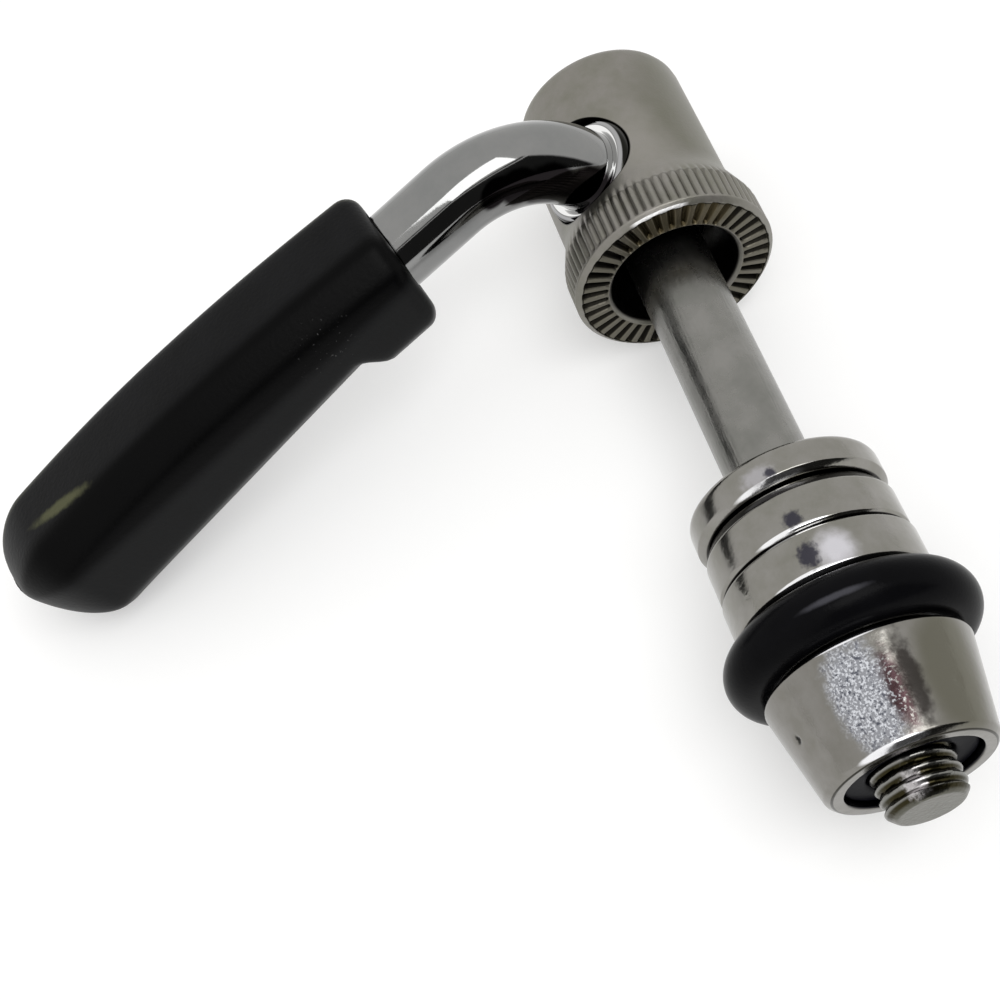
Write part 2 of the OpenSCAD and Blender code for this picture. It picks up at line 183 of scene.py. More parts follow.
def cut_away(obj, shells, sharp_deg=32):
    """Cuts closed shells out of a piece and marks the new sharp edges."""
    tool = made(obj.name + "_cutter", shells)
    cut = obj.modifiers.new("cut", "BOOLEAN")
    cut.operation, cut.solver, cut.object = "DIFFERENCE", "EXACT", tool
    bpy.context.view_layer.update()
    done = bpy.data.meshes.new_from_object(obj.evaluated_get(bpy.context.evaluated_depsgraph_get()))
    obj.modifiers.clear()
    obj.data = done
    done.shade_smooth()
    done.set_sharp_from_angle(angle=math.radians(sharp_deg))
    bpy.data.objects.remove(tool)


def box_shell(low, high):
    """The six faces of a block between two corners."""
    corners = np.array([[0, 0, 0], [1, 0, 0], [1, 1, 0], [0, 1, 0],
                        [0, 0, 1], [1, 0, 1], [1, 1, 1], [0, 1, 1]])
    faces = np.array([[0, 3, 2, 1], [4, 5, 6, 7], [0, 1, 5, 4],
                      [1, 2, 6, 5], [2, 3, 7, 6], [3, 0, 4, 7]])
    low, high = np.array(low, float), np.array(high, float)
    return low + corners * (high - low), faces


def upright(radius, z_low, z_high, centre, columns=96):
    """A round post along the cross hole, for pins and for cutting holes."""
    a = np.arange(columns) * 2 * math.pi / columns
    ring = np.stack([centre[0] + radius * np.cos(a), centre[1] + radius * np.sin(a), 0 * a], -1)
    return shell(np.stack([ring + [0, 0, z_low], ring + [0, 0, z_high]]))


def rolled_thread(x, r, a):
    """Thread relief: the radius drops by the depth times a rounded triangle wave of x over the pitch
    less the turn, and the groove fades in over one pitch at its start."""
    turn = x / THREAD_PITCH - a / (2 * math.pi)
    wave = np.abs(2 * (turn - np.floor(turn)) - 1)
    groove = np.clip(ROOT_WIDTH - ROOT_STEEP * wave, 0, 1)
    fade = np.clip((x - THREAD_START) / THREAD_PITCH, 0, 1)
    cut = THREAD_R - THREAD_DEPTH * groove * fade + RUN_IN_RISE * (1 - fade)
    return x, np.where(r > THREAD_R - 1.2, np.minimum(r, cut), r)


def on_the_bench(mat):
    """The place on the bench in millimetres, for a material: the Object coordinates less the flange
    face, turned onto the bench axes."""
    place = mat.node_tree.nodes.new("ShaderNodeTexCoord")
    turn = mat.node_tree.nodes.new("ShaderNodeMapping")
    turn.name = "bench"
    turn.vector_type = "TEXTURE"
    turn.inputs["Location"].default_value = FLANGE_FACE
    turn.inputs["Rotation"].default_value = Matrix(BENCH.T.tolist()).to_euler()
    turn.inputs["Scale"].default_value = (0.001, 0.001, 0.001)
    mat.node_tree.links.new(place.outputs["Object"], turn.inputs["Vector"])
    return turn.outputs["Vector"]


def bench_place(mat):
    """The place on the bench that a material already reads."""
    return mat.node_tree.nodes["bench"].outputs["Vector"]


def noise(mat, place, size_mm, detail=3.0, roughness=0.5):
    """A cloudy noise about one half, with lumps of a given size."""
    node = mat.node_tree.nodes.new("ShaderNodeTexNoise")
    node.inputs["Scale"].default_value = 1 / size_mm
    node.inputs["Detail"].default_value = detail
    node.inputs["Roughness"].default_value = roughness
    mat.node_tree.links.new(place, node.inputs["Vector"])
    return node.outputs["Fac"]


def sums(mat, operation, a, b=0.0):
    """One step of arithmetic in a material. Each side is a number or the result of another step."""
    node = mat.node_tree.nodes.new("ShaderNodeMath")
    node.operation = operation
    for socket, side in zip(node.inputs, (a, b)):
        if isinstance(side, (int, float)):
            socket.default_value = side
        else:
            mat.node_tree.links.new(side, socket)
    return node.outputs[0]


def both(mat, a, b):
    """A cover where two covers meet: their product."""
    return sums(mat, "MULTIPLY", a, b)


def ramp(mat, value, nought_at, one_at):
    """Nought at one limit of a value and one at the other, with a smooth step between them."""
    node = mat.node_tree.nodes.new("ShaderNodeMapRange")
    node.interpolation_type = "SMOOTHSTEP"
    node.inputs["From Min"].default_value = nought_at
    node.inputs["From Max"].default_value = one_at
    mat.node_tree.links.new(value, node.inputs["Value"])
    return node.outputs["Result"]


def length(mat, place, keep, middle=(0, 0, 0)):
    """The distance from a middle, counting each axis by the factor kept for it."""
    off = mat.node_tree.nodes.new("ShaderNodeVectorMath")
    off.operation = "SUBTRACT"
    off.inputs[1].default_value = middle
    mat.node_tree.links.new(place, off.inputs[0])
    kept = mat.node_tree.nodes.new("ShaderNodeVectorMath")
    kept.operation = "MULTIPLY"
    kept.inputs[1].default_value = keep
    mat.node_tree.links.new(off.outputs["Vector"], kept.inputs[0])
    size = mat.node_tree.nodes.new("ShaderNodeVectorMath")
    size.operation = "LENGTH"
    mat.node_tree.links.new(kept.outputs["Vector"], size.inputs[0])
    return size.outputs["Value"]


def patch(mat, middle, half_sizes, ragged, lumps_mm, soft=0.15):
    """One inside an ellipsoid on the bench and nought outside it. The distance from its middle, as a
    share of its half sizes, wavers by a noise, so that its edge is ragged. It fades over a soft
    width."""
    place = bench_place(mat)
    away = length(mat, place, [1 / h for h in half_sizes], middle)
    waver = both(mat, sums(mat, "SUBTRACT", noise(mat, place, lumps_mm), 0.5), 2.0 * ragged)
    return ramp(mat, sums(mat, "ADD", away, waver), 0.95 + soft, 0.95 - soft)


def around(x, r, deg):
    """The bench point at a place along the bolt, a radius and an angle from the cross hole."""
    return x, r * math.sin(math.radians(deg)), r * math.cos(math.radians(deg))


def axis_of(mat, axis):
    """One coordinate of the place on the bench."""
    split = mat.node_tree.nodes.new("ShaderNodeSeparateXYZ")
    mat.node_tree.links.new(bench_place(mat), split.inputs["Vector"])
    return split.outputs[axis]


def painted(mat, cover, colour, share=1.0):
    """Lays a colour over a material's base colour, by a cover that runs from nought to one, times a
    share."""
    shader = mat.node_tree.nodes["Principled BSDF"]
    coat = mat.node_tree.nodes.new("ShaderNodeMix")
    coat.data_type = "RGBA"
    mat.node_tree.links.new(shader.inputs["Base Color"].links[0].from_socket, coat.inputs["A"])
    coat.inputs["B"].default_value = (*colour, 1)
    mat.node_tree.links.new(both(mat, cover, share), coat.inputs["Factor"])
    mat.node_tree.links.new(coat.outputs["Result"], shader.inputs["Base Color"])


def marked(mat, middle, half_sizes, ragged, lumps_mm, soft, colour, share=1.0):
    """Paints one patch: its middle and half sizes on the bench, how ragged its edge is and by what
    lumps, how softly it fades, its colour and how much of it covers."""
    painted(mat, patch(mat, middle, half_sizes, ragged, lumps_mm, soft), colour, share)


def surfaced(name, deep, pale, roughness, waver, mottle_mm, grain, grain_mm, stretch=(1, 1, 1)):
    """A material whose colour drifts from a deep to a pale shade by a slow noise with lumps of the
    mottle size. The roughness wavers with it by a share, and a fine noise, stretched along the bench
    axes, is the grain in the bump."""
    mat = bpy.data.materials.new(name)
    mat.use_nodes = True
    nodes, links = mat.node_tree.nodes, mat.node_tree.links
    shader = nodes["Principled BSDF"]
    place = on_the_bench(mat)
    slow = noise(mat, place, mottle_mm, 5, 0.62)
    shade = nodes.new("ShaderNodeValToRGB")
    shade.color_ramp.elements[0].position, shade.color_ramp.elements[1].position = 0.34, 0.66
    shade.color_ramp.elements[0].color = (*deep, 1)
    shade.color_ramp.elements[1].color = (*pale, 1)
    links.new(slow, shade.inputs["Fac"])
    links.new(shade.outputs["Color"], shader.inputs["Base Color"])
    rough = nodes.new("ShaderNodeMapRange")
    rough.inputs["To Min"].default_value = roughness * (1 - waver)
    rough.inputs["To Max"].default_value = roughness * (1 + waver)
    links.new(slow, rough.inputs["Value"])
    links.new(rough.outputs["Result"], shader.inputs["Roughness"])
    squeeze = nodes.new("ShaderNodeMapping")
    squeeze.inputs["Scale"].default_value = stretch
    links.new(place, squeeze.inputs["Vector"])
    bump = nodes.new("ShaderNodeBump")
    bump.inputs["Strength"].default_value = grain
    bump.inputs["Distance"].default_value = 0.0001
    links.new(noise(mat, squeeze.outputs["Vector"], grain_mm), bump.inputs["Height"])
    links.new(bump.outputs["Normal"], shader.inputs["Normal"])
    return mat


def plated(*shades, **looks):
    """Plated metal: a surface in its two shades and its further looks, made fully metallic."""
    mat = surfaced(*shades, **looks)
    mat.node_tree.nodes["Principled BSDF"].inputs["Metallic"].default_value = 1.0
    return mat


def dressed(piece, material, body, node):
    """Gives a finished piece its material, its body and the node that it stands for."""
    piece.data.materials.clear()
    piece.data.materials.append(material)
    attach(piece, body)
    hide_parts(node)


eye_x = -CROSS_BACK + EYE_LEAD
bolt_outline = filled(softened([
    (eye_x - HEAD_BACK, POLE_R), (eye_x - HEAD_BACK, HEAD_R, 0.3), (eye_x + HEAD_FRONT, HEAD_R, 0.3),
    (eye_x + HEAD_FRONT + 0.6, SHANK_R, 0.5), (THREAD_START, SHANK_R, 0.2),
    (THREAD_START + 0.1, THREAD_R), (BOLT_REACH - TIP_CHAMFER, THREAD_R, 0.15),
    (BOLT_REACH, THREAD_R - TIP_CHAMFER, 0.2), (BOLT_REACH, 1.2), (BOLT_REACH, POLE_R)]),
    THREAD_STEP, THREAD_START + 0.05)
eye_bolt = made("eye_bolt", [shell(turned(bolt_outline, BOLT_COLUMNS, rolled_thread))])
head_end = eye_x + HEAD_FRONT + 0.2
for z_low, z_high in [(HEAD_HALF_T, HEAD_CUT_Z), (-HEAD_CUT_Z, -HEAD_HALF_T)]:
    block = box_shell((HEAD_CUT_X, -HEAD_CUT_Y, z_low), (head_end, HEAD_CUT_Y, z_high))
    cut_away(eye_bolt, [block])
cut_away(eye_bolt, [upright(EYE_R, -HEAD_CUT_Y, HEAD_CUT_Y, (eye_x, 0))])
zinc = plated("zinc_plate", (0.185, 0.185, 0.172), (0.245, 0.24, 0.228), roughness=0.27, waver=0.3,
              mottle_mm=4.0, grain=0.35, grain_mm=0.35, stretch=(0.15, 1, 1))
# Painted shade darkens the thread's roots, the tip's end is painted a little darker, and a painted
# highlight lies on the tip
from_axis = length(zinc, bench_place(zinc), (0, 1, 1))
on_thread = ramp(zinc, axis_of(zinc, "X"), THREAD_START - 1, THREAD_START)
in_roots = both(zinc, on_thread, ramp(zinc, from_axis, THREAD_R - 0.04, THREAD_R - 0.2))
painted(zinc, in_roots, (0.03, 0.026, 0.012))
at_tip = ramp(zinc, axis_of(zinc, "X"), BOLT_REACH - 0.35, BOLT_REACH - 0.15)
painted(zinc, at_tip, (0.105, 0.103, 0.085))
marked(zinc, around(56.2, THREAD_R, 22), (1.3, 0.9, 0.9), 0.8, 0.35, 0.5, (0.52, 0.5, 0.51))
dressed(eye_bolt, zinc, "eye_bolt", "bolt")

# Cam barrel
# Turned steel with satin nickel plating, closed at its far end. The bolt's eye slides in its bore, the
# lever turns in its cross hole, and its flange is knurled round the rim and serrated on the face.
BARREL_R = 8.85
BARREL_LEN = 24.2
BARREL_FLOOR = 3.0
BORE_R = 6.5
FLANGE_R = 10.2
FLANGE_RIM = 3.8
FLANGE_FLARE = 3.9
RIM_TEETH = 72
RIM_DEPTH = 0.25
FACE_TEETH = 40
FACE_DEPTH = 0.5
FACE_FROM_R = 7.0
FACE_TO_R = 9.55
CROSS_HOLE_R = 5.4
JOURNAL_HOLE_R = 4.3
JOURNAL_END = 7.1
# The relief's grooves: flat width and steepness of each kind, how far the knurl runs back past the
# rim, over what length it fades there, and the plain edge that it leaves in front
RIM_WIDTH = 1.0
RIM_STEEP = 1.25
FACE_WIDTH = 1.12
FACE_STEEP = 1.75
RIM_BACK = 1.6
RIM_FADE = 1.4
RIM_EDGE = 0.62
# Columns round the barrel, and the longest steps over the flange and in the bore
BARREL_COLUMNS = 720
FLANGE_STEP = 0.3
BORE_STEP = 3.0
BARREL_SHARP_DEG = 40


def knurled(x, r, a):
    """Flange relief. Each groove is a V in the angle round the bolt: round the rim it lowers the
    radius, on the face it lowers x, and both fade out before the rim's chamfer and the bore's lip."""
    rim_turn, face_turn = a * RIM_TEETH / (2 * math.pi), a * FACE_TEETH / (2 * math.pi)
    rim_wave = np.abs(2 * (rim_turn - np.floor(rim_turn)) - 1)
    face_wave = np.abs(2 * (face_turn - np.floor(face_turn)) - 1)
    rim_groove = np.clip(RIM_WIDTH - RIM_STEEP * rim_wave, 0, 1)
    face_groove = np.clip(FACE_WIDTH - FACE_STEEP * face_wave, 0, 1)
    from_back = np.clip((x + FLANGE_RIM + RIM_BACK) / RIM_FADE, 0, 1)
    to_front = np.clip((-x - RIM_EDGE) / 0.2, 0, 1)
    on_rim = from_back * to_front * (r > BARREL_R + 0.2)
    from_lip = np.clip((r - FACE_FROM_R) / 0.15, 0, 1)
    to_edge = np.clip((FACE_TO_R + 0.15 - r) / 0.15, 0, 1)
    on_face = from_lip * to_edge * (x > -0.3)
    return x - FACE_DEPTH * face_groove * on_face, r - RIM_DEPTH * rim_groove * on_rim


def between(mat, value, low, high, soft):
    """One where a value lies between two limits, falling to nought over a soft width outside each."""
    return both(mat, ramp(mat, value, low - soft, low), ramp(mat, value, high + soft, high))


barrel_outside = filled(softened([
    (-BARREL_LEN, POLE_R), (-BARREL_LEN, BARREL_R, 1.9), (-FLANGE_RIM - FLANGE_FLARE, BARREL_R, 1.2),
    (-FLANGE_RIM, FLANGE_R, 0.4), (-0.5, FLANGE_R, 0.1), (0, FLANGE_R - 0.5, 0.1),
    (0, FACE_FROM_R + 0.18), (0, FACE_FROM_R - 0.02)], 6), FLANGE_STEP, -FLANGE_RIM - FLANGE_FLARE)
barrel_inside = filled(softened([
    (0, FACE_FROM_R - 0.02), (0, BORE_R + 0.4, 0.12), (-0.4, BORE_R, 0.12),
    (-BARREL_LEN + BARREL_FLOOR, BORE_R, 0.3), (-BARREL_LEN + BARREL_FLOOR, POLE_R)], 6), BORE_STEP)
barrel_outline = np.concatenate([barrel_outside, barrel_inside[1:]])
barrel_grid = turned(barrel_outline, BARREL_COLUMNS, knurled)
cam_barrel = made("cam_barrel", [shell(barrel_grid)], BARREL_SHARP_DEG)
cross_hole = upright(CROSS_HOLE_R, 3.0, 14, (-CROSS_BACK, 0), 128)
journal_hole = upright(JOURNAL_HOLE_R, -JOURNAL_END, -4.0, (-CROSS_BACK, 0))
cut_away(cam_barrel, [cross_hole], BARREL_SHARP_DEG)
cut_away(cam_barrel, [journal_hole], BARREL_SHARP_DEG)
satin_nickel = plated("satin_nickel", (0.20, 0.196, 0.166), (0.252, 0.24, 0.222), roughness=0.42,
                      waver=0.15, mottle_mm=3.0, grain=0.25, grain_mm=0.25)
from_axis = length(satin_nickel, bench_place(satin_nickel), (0, 1, 1))
from_hole = length(satin_nickel, bench_place(satin_nickel), (1, 1, 0), (-CROSS_BACK, 0, 0))
back_from_face = axis_of(satin_nickel, "X")
# The face is painted duller and olive, painted shade blackens its serrations and the knurl, oil browns
# the grooves on top, a painted shadow rings the grooves' outer ends, and a painted highlight lies on
# the rim's edge there
on_face = ramp(satin_nickel, back_from_face, -0.75, -0.65)
in_grooves = ramp(satin_nickel, back_from_face, -0.03, -0.14)
serrated = both(satin_nickel, on_face, between(satin_nickel, from_axis, 6.98, 9.52, 0.06))
in_knurl = both(satin_nickel, between(satin_nickel, back_from_face, -4.4, -0.75, 0.1),
                between(satin_nickel, from_axis, 9.85, FLANGE_R - 0.2, 0.1))
painted(satin_nickel, serrated, (0.10, 0.09, 0.06), 0.6)
painted(satin_nickel, both(satin_nickel, serrated, in_grooves), (0.012, 0.011, 0.009))
oily = patch(satin_nickel, around(-0.2, 8.2, 48), (2.0, 5.5, 4.5), 0.3, 1.5, 0.4)
painted(satin_nickel, both(satin_nickel, serrated, oily), (0.085, 0.068, 0.036), 0.7)
painted(satin_nickel, in_knurl, (0.05, 0.047, 0.035), 0.5)
# A painted shadow ring at the outer ends of the face's grooves
groove_ends = both(satin_nickel, on_face, between(satin_nickel, from_axis, 9.52, 9.64, 0.03))
painted(satin_nickel, groove_ends, (0.03, 0.028, 0.02))
# A painted highlight on the rim's edge, on top
lit_edge = patch(satin_nickel, around(-0.25, FLANGE_R - 0.2, 34), (1.2, 2.9, 2.6), 0.1, 1.0)
on_edge = both(satin_nickel, on_face, between(satin_nickel, from_axis, 9.68, 9.9, 0.05))
painted(satin_nickel, both(satin_nickel, lit_edge, on_edge), (0.95, 0.95, 0.95))
# The side is dulled to olive by painted shade, and the plating beside the cross hole is paler
marked(satin_nickel, around(-14, BARREL_R, 82), (9.5, 4.9, 4.4), 0.2, 4.0, 0.5,
       (0.142, 0.14, 0.108), 0.6)
marked(satin_nickel, around(-9.5, BARREL_R, 42), (5.0, 3.0, 3.0), 0.5, 2.5, 0.8,
       (0.31, 0.297, 0.275), 0.55)
# Painted shade blackens the bore up to its mouth and the edge of the cross hole
past_floor = ramp(satin_nickel, back_from_face, -BARREL_LEN + 1, -BARREL_LEN + 2)
near_bore = ramp(satin_nickel, from_axis, BORE_R + 0.25, BORE_R + 0.05)
painted(satin_nickel, both(satin_nickel, past_floor, near_bore), (0.012, 0.011, 0.010))
lever_side = ramp(satin_nickel, axis_of(satin_nickel, "Z"), 1.0, 2.0)
near_hole = ramp(satin_nickel, from_hole, CROSS_HOLE_R + 0.12, CROSS_HOLE_R + 0.02)
painted(satin_nickel, both(satin_nickel, lever_side, near_hole), (0.012, 0.012, 0.010))
dressed(cam_barrel, satin_nickel, "cam_housing", "barrel")

# Lever rod
# One round steel bar, turned at its end to a collar, an eccentric neck and a journal, then bent and
# chromed. The collar's flat face shows as a bright ring in the barrel's cross hole.
ROD_R = 3.95
COLLAR_R = 5.3
COLLAR_TOP = 8.2
BEND_START = 8.4
BEND_R = 12.2
BEND_DEG = 70.0
ROD_BARE = 7.1
ROD_IN_GRIP = 38.0
LEVER_TURN = -76.0
NECK_R = 2.8
NECK_THROW = 1.0
JOURNAL_R = 4.2
JOURNAL_REACH = 6.9
SHOULDER = 4.2
# Where the bar starts inside the collar
ROD_FOOT = 5.0

bend = math.radians(BEND_DEG)
rod_way = np.array([math.sin(bend), 0, math.cos(bend)])
crown_way = np.array([-math.cos(bend), 0, math.sin(bend)])
bend_end = np.array([BEND_R - BEND_R * math.cos(bend), 0, BEND_START + BEND_R * math.sin(bend)])
mouth_at = bend_end + ROD_BARE * rod_way
turn = math.radians(LEVER_TURN)


def on_bench(points):
    """Lever point to bench point: turned about the cross hole, then moved to it along the bolt."""
    x, y, z = np.moveaxis(np.asarray(points, float), -1, 0)
    return np.stack([x * math.cos(turn) - y * math.sin(turn) - CROSS_BACK,
                     x * math.sin(turn) + y * math.cos(turn), z], -1)


def bar(radius, columns=96):
    """The bent bar: a circle carried up the cross hole, round an arc of the bend radius and on along a
    straight line. The circle stays square to the path."""
    up = np.linspace(ROD_FOOT, BEND_START, 4)[:-1]
    arc = np.linspace(0, bend, 49)
    run = np.linspace(0, ROD_BARE + ROD_IN_GRIP, 40)[1:]
    centre = np.concatenate([
        np.stack([0 * up, 0 * up, up], -1),
        np.stack([BEND_R - BEND_R * np.cos(arc), 0 * arc, BEND_START + BEND_R * np.sin(arc)], -1),
        bend_end + run[:, None] * rod_way])
    slope = np.concatenate([0 * up, arc, 0 * run + bend])
    out = np.stack([-np.cos(slope), 0 * slope, np.sin(slope)], -1)
    a = (np.arange(columns) * 2 * math.pi / columns)[None, :, None]
    side = np.array([0.0, 1.0, 0.0])
    return centre[:, None] + radius * (np.cos(a) * out[:, None] + np.sin(a) * side)


def post(outline, columns=128, offset=0.0):
    """A turned surface about the cross hole: (z, radius) pairs carried round, moved aside by an
    offset."""
    a = np.arange(columns) * 2 * math.pi / columns
    z, r = outline[:, :1] + 0 * a, outline[:, 1:] + 0 * a
    return shell(np.stack([r * np.cos(a) - CROSS_BACK, r * np.sin(a) + offset, z], -1))


collar = softened([
    (SHOULDER, POLE_R), (SHOULDER, COLLAR_R, 0.2), (COLLAR_TOP - 0.5, COLLAR_R, 0.5),
    (COLLAR_TOP, COLLAR_R - 0.6, 0.4), (COLLAR_TOP - 0.15, ROD_R + 0.12, 0.1),
    (COLLAR_TOP - 0.3, POLE_R)], 8)
neck = np.array([(-SHOULDER - 1, POLE_R), (-SHOULDER - 1, NECK_R), (SHOULDER + 1, NECK_R),
                 (SHOULDER + 1, POLE_R)])
journal = softened([(-JOURNAL_REACH, POLE_R), (-JOURNAL_REACH, JOURNAL_R, 0.4),
                    (-SHOULDER, JOURNAL_R, 0.2), (-SHOULDER, POLE_R)])
lever_rod = made("lever_rod_bar", [shell(on_bench(bar(ROD_R))), post(collar),
                                   post(neck, 96, NECK_THROW), post(journal, 96)])
chrome = plated("chrome", (0.218, 0.221, 0.219), (0.25, 0.25, 0.247), roughness=0.06, waver=0.5,
                mottle_mm=5.0, grain=0.02, grain_mm=0.8)
# The collar's face carries a painted highlight that fades to grey and its edge a painted shadow, and
# dark reflections are painted on the foot of the rod
from_hole = length(chrome, bench_place(chrome), (1, 1, 0), (-CROSS_BACK, 0, 0))
on_collar = ramp(chrome, axis_of(chrome, "Z"), COLLAR_TOP + 0.25, COLLAR_TOP + 0.1)
# Middles and half sizes of the painted dark reflections on the rod
DARK_REFLECTIONS = [((-6.9, 0.4, 9.6), (2.2, 3.6, 3.4)), ((-6.9, -0.6, 13.6), (1.9, 2.8, 3.2)),
          ((-6.8, -1.8, 16.8), (1.5, 2.2, 2.2)), ((-6.5, -3.3, 18.9), (1.2, 2.1, 1.3))]
for middle, half_sizes in DARK_REFLECTIONS:
    marked(chrome, middle, half_sizes, 0.12, 1.5, 0.15, (0.014, 0.012, 0.013))
collar_highlight = both(chrome, on_collar, between(chrome, from_hole, 4.0, 4.6, 0.05))
painted(chrome, collar_highlight, (0.88, 0.88, 0.88))
painted(chrome, both(chrome, on_collar, ramp(chrome, from_hole, 4.65, 4.8)), (0.36, 0.36, 0.365))
painted(chrome, both(chrome, on_collar, ramp(chrome, from_hole, 5.0, 5.1)), (0.015, 0.015, 0.013))
dressed(lever_rod, chrome, "lever", "lever_rod")

# Grip
# Black plastic moulded over the rod: a four-sided bar with bevelled edges, deeper towards its rounded
# free end, with a finger stop under its mouth and a dished mouth round the rod.
GRIP_LEN = 49.1
GRIP_HALF_W = 6.8
GRIP_CROWN = 7.0
CROWN_AT = 22.0
FALL_MOUTH = 1.1
FALL_END = 2.35
BELLY_MOUTH = 4.2
BELLY_END = 9.3
BEVEL_TOP = 2.8
BEVEL_BELLY = 3.6
END_R = 5.5
MOUTH_ROUND = 1.7
STOP_DEPTH = 7.5
STOP_LEN = 7.4
STOP_FADE = 3.0
MOUTH_HOLE_R = 4.65
MOUTH_DEPTH = 1.0
# The power that rounds the section's corners: the higher, the sharper
CORNER_POWER = 22
# Slants of the two end faces: how far they lean out for each millimetre towards the crown, and for the
# free end also to the side. It bulges in its middle too. Both fade out over a length of the grip.
MOUTH_SLANT = 0.11
END_SLANT = 0.21
END_SKEW = 0.16
END_BULGE = 1.6
MOUTH_LEAN_LEN = 9.0
END_LEAN_LEN = 12.0


def grip_grid(columns=192):
    """Half sizes to the top, belly and sides are functions of the distance s from the mouth. The
    section at each angle is the inverse of a high-power norm of direction over distance for its eight
    sides, which rounds the corners, and it shrinks along a quarter circle at each end. Both end faces
    lean, and the free end's middle stands out by a square law."""
    rise, fall = np.linspace(0, math.pi / 2, 9), np.linspace(0, math.pi / 2, 19)
    straight = np.linspace(MOUTH_ROUND, GRIP_LEN - END_R, 90)[1:-1]
    s = np.concatenate([MOUTH_ROUND * (1 - np.cos(rise)), straight,
                        GRIP_LEN - END_R + END_R * np.sin(fall)])
    shrink = np.concatenate([MOUTH_ROUND * (1 - np.sin(rise)), 0 * straight,
                             END_R * (1 - np.cos(fall))])
    u = np.where(s < CROWN_AT, (CROWN_AT - s) / CROWN_AT, (s - CROWN_AT) / (GRIP_LEN - CROWN_AT))
    top = GRIP_CROWN - np.where(s < CROWN_AT, FALL_MOUTH, FALL_END) * u ** 2
    belly = BELLY_MOUTH + (BELLY_END - BELLY_MOUTH) * s / GRIP_LEN
    past_stop = np.clip((s - STOP_LEN + 0.6) / STOP_FADE, 0, 1)
    stop = 1 - past_stop ** 2 * (3 - 2 * past_stop)
    belly = belly + (STOP_DEPTH - belly) * stop
    a = np.arange(columns) * 2 * math.pi / columns
    total = 0
    r2 = math.sqrt(0.5)
    sides = [(0, 1, top), (0, -1, belly), (1, 0, GRIP_HALF_W + 0 * s), (-1, 0, GRIP_HALF_W + 0 * s)]
    sides += [(k * r2, r2, (GRIP_HALF_W + top - BEVEL_TOP) * r2) for k in (1, -1)]
    sides += [(k * r2, -r2, (GRIP_HALF_W + belly - BEVEL_BELLY) * r2) for k in (1, -1)]
    for ny, nz, reach in sides:
        toward = np.clip(ny * np.sin(a) + nz * np.cos(a), 0, None)[None, :]
        total = total + (toward / np.maximum(reach - shrink, 0.1 * reach)[:, None]) ** CORNER_POWER
    r = total ** (-1 / CORNER_POWER)
    s = s[:, None] + 0 * a
    y, z = r * np.sin(a), r * np.cos(a)
    hole_s = np.array([0.0, MOUTH_DEPTH, MOUTH_DEPTH + 0.05])[:, None] + 0 * a
    hole_r = np.array([MOUTH_HOLE_R, MOUTH_HOLE_R, 1.0])[:, None]
    ys = np.concatenate([hole_r[::-1] * np.sin(a), y])
    zs = np.concatenate([hole_r[::-1] * np.cos(a), z])
    ss = np.concatenate([hole_s[::-1], s])
    near_mouth = np.clip(1 - ss / MOUTH_LEAN_LEN, 0, 1) ** 2
    near_end = np.clip((ss - GRIP_LEN + END_LEAN_LEN) / END_LEAN_LEN, 0, 1) ** 2
    bulge = END_BULGE * (0.6 - ((zs + 2) / 7) ** 2 - (ys / GRIP_HALF_W) ** 2)
    end_lean = END_SLANT * (zs + 2) - END_SKEW * ys + bulge
    ss = ss - near_mouth * MOUTH_SLANT * zs + near_end * end_lean
    side_way = np.array([0.0, 1.0, 0.0])
    return mouth_at + ss[..., None] * rod_way + ys[..., None] * side_way + zs[..., None] * crown_way


def moulded(name, colour, gloss, roughness, grain, grain_mm):
    """Moulded plastic or rubber, lighter and deeper than its colour by about a third. gloss is the
    level of its clear reflection."""
    deep, pale = [c * 0.75 for c in colour], [c * 1.35 for c in colour]
    mat = surfaced(name, deep, pale, roughness, 0.2, 6.0, grain, grain_mm)
    mat.node_tree.nodes["Principled BSDF"].inputs["Specular IOR Level"].default_value = gloss
    return mat


def specks(mat, cover, lumps_mm, from_level, to_level):
    """Thins a cover out to the lumps of a fine noise."""
    fine = noise(mat, bench_place(mat), lumps_mm, 2)
    return both(mat, cover, ramp(mat, fine, from_level, to_level))


grip = made("moulded_grip", [shell(on_bench(grip_grid()))], 60)
grip_plastic = moulded("grip_plastic", (0.0036, 0.0037, 0.0042), gloss=0.06, roughness=0.4, grain=0.25,
                       grain_mm=0.4)
# The grip's own place and the angle round it from the crown. The near bevel is painted darker and the
# side below it greyer, both as painted reflections, and the far bevel carries an olive painted
# highlight.
grip_axes = on_bench([rod_way, [0, 1, 0], crown_way]) - on_bench([0, 0, 0])
on_grip = grip_plastic.node_tree.nodes.new("ShaderNodeMapping")
on_grip.vector_type = "TEXTURE"
on_grip.inputs["Location"].default_value = on_bench(mouth_at)
on_grip.inputs["Rotation"].default_value = Matrix(grip_axes.T.tolist()).to_euler()
grip_split = grip_plastic.node_tree.nodes.new("ShaderNodeSeparateXYZ")
grip_plastic.node_tree.links.new(bench_place(grip_plastic), on_grip.inputs["Vector"])
grip_plastic.node_tree.links.new(on_grip.outputs["Vector"], grip_split.inputs["Vector"])
round_grip = sums(grip_plastic, "ARCTAN2", grip_split.outputs["Y"], grip_split.outputs["Z"])
round_grip = sums(grip_plastic, "DEGREES", round_grip)
painted(grip_plastic, between(grip_plastic, round_grip, 31, 72, 9), (0.0004, 0.0004, 0.0005), 0.9)
painted(grip_plastic, between(grip_plastic, round_grip, 88, 130, 16), (0.016, 0.0164, 0.0168), 0.8)
painted(grip_plastic, between(grip_plastic, round_grip, -52, -33, 3), (0.026, 0.027, 0.018), 0.6)
